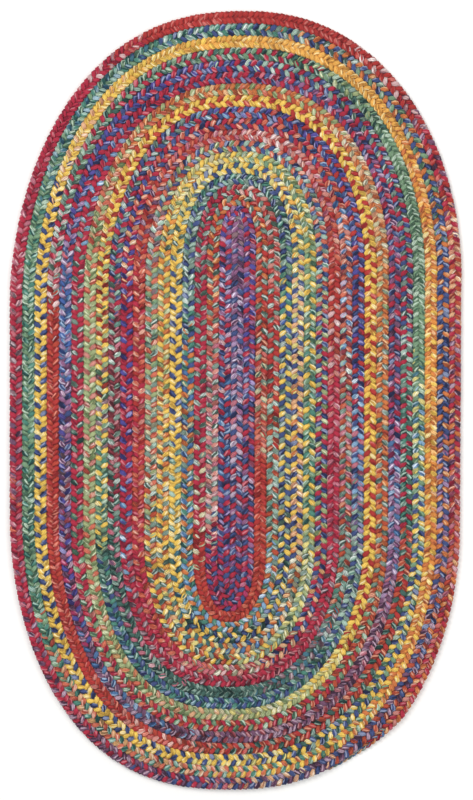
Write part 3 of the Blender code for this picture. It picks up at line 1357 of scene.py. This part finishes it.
    def close_ends(self, mesh: bpy.types.Mesh) -> None:
        """Fill the two open ends of a swept strand, and face it outwards.

        Args:
            mesh: The swept strand.
        """
        tube = bmesh.new()
        tube.from_mesh(mesh)
        rims = [edge for edge in tube.edges if edge.is_boundary]
        bmesh.ops.holes_fill(tube, edges=rims, sides=self.plait.sides)
        bmesh.ops.recalc_face_normals(tube, faces=tube.faces)
        tube.to_mesh(mesh)
        tube.free()

    def note_yarns(self, mesh: bpy.types.Mesh, along: np.ndarray, yarns: np.ndarray) -> None:
        """Write each point's dyes and its place on the strand into the mesh.

        Args:
            mesh: The swept strand, ring after ring.
            along: How far along the strand each ring lies.
            yarns: Its dyes.
        """
        sides = self.plait.sides
        rings = len(along)
        opaque = np.ones((rings, 1))
        for name, columns in (("yarn_dye", DYE), ("yarn_deep", DEEP), ("yarn_pale", PALE)):
            shade = np.repeat(np.hstack([yarns[:, columns], opaque]), sides, axis=0)
            layer = mesh.attributes.new(name, "FLOAT_COLOR", "POINT")
            layer.data.foreach_set("color", shade.astype(np.float32).ravel())
        mix = mesh.attributes.new("yarn_mix", "FLOAT", "POINT")
        mix.data.foreach_set("value", np.repeat(yarns[:, MIX], sides).astype(np.float32))
        turned = np.tile(self.plait.round_section(), rings)
        place = np.column_stack([np.repeat(along, sides), np.cos(turned), np.sin(turned)])
        where = mesh.attributes.new("strand_place", "FLOAT_VECTOR", "POINT")
        where.data.foreach_set("vector", place.astype(np.float32).ravel())

    def lay_out(self, mesh: bpy.types.Mesh, spans: int) -> None:
        """Give a strand a map of its own, on which it lies in rows like a long ribbon.

        The two ends, the only faces with a corner for each side, lie in a row above.

        Args:
            mesh: The closed strand, ring after ring.
            spans: How many spans it has from ring to ring.
        """
        for layer in list(mesh.uv_layers):
            mesh.uv_layers.remove(layer)
        sides, rows = self.plait.sides, self.map_rows
        count = len(mesh.polygons)
        first, total = np.zeros(count, np.int32), np.zeros(count, np.int32)
        mesh.polygons.foreach_get("loop_start", first)
        mesh.polygons.foreach_get("loop_total", total)
        corner = np.zeros(len(mesh.loops), np.int32)
        mesh.loops.foreach_get("vertex_index", corner)
        ring, side = corner // sides, corner % sides
        lowest = np.minimum.reduceat(ring, first)
        seam = (np.minimum.reduceat(side, first) == 0) & (
            np.maximum.reduceat(side, first) == sides - 1
        )
        side = np.where(np.repeat(seam, total) & (side == 0), sides, side)
        span = np.repeat(lowest, total)
        per_row = math.ceil(spans / rows)
        row = span // per_row
        u = (span % per_row + ring - span) / per_row
        within = blend(self.map_margin, 1 - self.map_margin, side / sides)
        v = (row + within) / (rows + 1)
        end = np.repeat(total == sides, total)
        turned = 2 * math.pi * (corner % sides) / sides
        middle = np.where(ring == 0, *self.end_places)
        wide, high = self.end_size
        u = np.where(end, middle + wide * np.cos(turned), u)
        v = np.where(end, (rows + 0.5 + high * np.sin(turned)) / (rows + 1), v)
        layer = mesh.uv_layers.new(name="OFBake")
        layer.uv.foreach_set("vector", np.column_stack([u, v]).astype(np.float32).ravel())


# ---------------------------------------------------------------- the room


class SoftBox(NamedTuple):
    """A square lamp that shines at the middle of the rug.

    Attributes:
        name: The lamp's name.
        place: Where it hangs.
        size: The length of its side.
        power: Its power in watts.
    """

    name: str
    place: tuple[float, float, float]
    size: float
    power: float


@dataclass(frozen=True)
class Studio:
    """The plain floor, the soft lights and the camera straight above the rug.

    Attributes:
        frame_length: The length of floor that the picture shows, from top to bottom.
        middle: The place on the floor under the camera.
        lens: The camera's focal length in millimetres.
        farthest: How far the camera sees.
        floor_tone: The floor's colour.
        floor_reach: How far the floor reaches each way.
        floor_below: How far it lies under the rug.
        boxes: The lamps.
        sky: The strength of the light from all round.
        sky_tone: The colour of that light.
    """

    frame_length: float = 1.219
    middle: tuple[float, float] = (1.5 * MM, 0.4 * MM)
    lens: float = 85.0
    farthest: float = 20.0
    floor_tone: str = "fdfdfb"
    floor_reach: float = 6.0
    floor_below: float = 0.2 * MM
    boxes: tuple[SoftBox, ...] = (
        SoftBox("soft_box_upper_left", (-1.3, 1.2, 2.4), 1.6, 48.0),
        SoftBox("soft_box_right", (1.8, -0.4, 2.2), 1.8, 25.0),
    )
    sky: float = 0.545
    sky_tone: str = "ffffff"

    def build(self) -> None:
        """Make the floor, the light and the camera."""
        self.lay_floor()
        self.hang_lights()
        self.place_camera()

    def lay_floor(self) -> None:
        """Lay a matt painted floor under the rug."""
        paint = bpy.data.materials.new("matt_painted_floor")
        paint.use_nodes = True
        shader = paint.node_tree.nodes["Principled BSDF"]
        shader.inputs["Base Color"].default_value = srgb(self.floor_tone)
        shader.inputs["Roughness"].default_value = 0.95
        shader.inputs["Specular IOR Level"].default_value = 0.1
        boards = bmesh.new()
        bmesh.ops.create_grid(boards, x_segments=1, y_segments=1, size=self.floor_reach)
        bmesh.ops.translate(boards, verts=boards.verts, vec=(0.0, 0.0, -self.floor_below))
        mesh = bpy.data.meshes.new("floor")
        boards.to_mesh(mesh)
        boards.free()
        mesh.materials.append(paint)
        floor = bpy.data.objects.new("floor", mesh)
        bpy.context.scene.collection.objects.link(floor)

    def hang_lights(self) -> None:
        """Hang the large soft boxes, and light the room evenly."""
        for box in self.boxes:
            lamp = bpy.data.lights.new(box.name, "AREA")
            lamp.shape = "SQUARE"
            lamp.size = box.size
            lamp.energy = box.power
            light = bpy.data.objects.new(box.name, lamp)
            light.location = box.place
            light.rotation_euler = (-Vector(box.place)).to_track_quat("-Z", "Y").to_euler()
            bpy.context.scene.collection.objects.link(light)
        world = bpy.data.worlds.new("soft_room_light")
        world.use_nodes = True
        sky = world.node_tree.nodes["Background"]
        sky.inputs["Color"].default_value = srgb(self.sky_tone)
        sky.inputs["Strength"].default_value = self.sky
        bpy.context.scene.world = world
        bpy.context.scene.view_settings.view_transform = "Standard"

    def place_camera(self) -> None:
        """Hang the camera over the rug, looking straight down with the head end up."""
        camera = bpy.data.cameras.new("camera")
        camera.lens = self.lens
        camera.clip_end = self.farthest
        above = self.frame_length * camera.lens / camera.sensor_width
        holder = bpy.data.objects.new("camera", camera)
        holder.location = (*self.middle, above)
        bpy.context.scene.collection.objects.link(holder)
        bpy.context.scene.camera = holder


def declare(lengths: list[bpy.types.Object]) -> None:
    """Attach the pieces to the root body, and hide the imported rug.

    Args:
        lengths: The three inner lengths of strand, then the three outer ones.
    """
    for piece in lengths:
        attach(piece, "root")
    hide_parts("braided_rug")


def main() -> None:
    """Build the dressed rug and its room."""
    logging.basicConfig(level=logging.INFO, format="%(message)s")
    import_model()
    charts = (FIRST_STRAND, SECOND_STRAND, THIRD_STRAND)
    rug = BraidedRug(BraidRoute(), Plait(), WoolBundle(), charts)
    declare(rug.build())
    Studio().build()


if __name__ == "__main__":
    main()
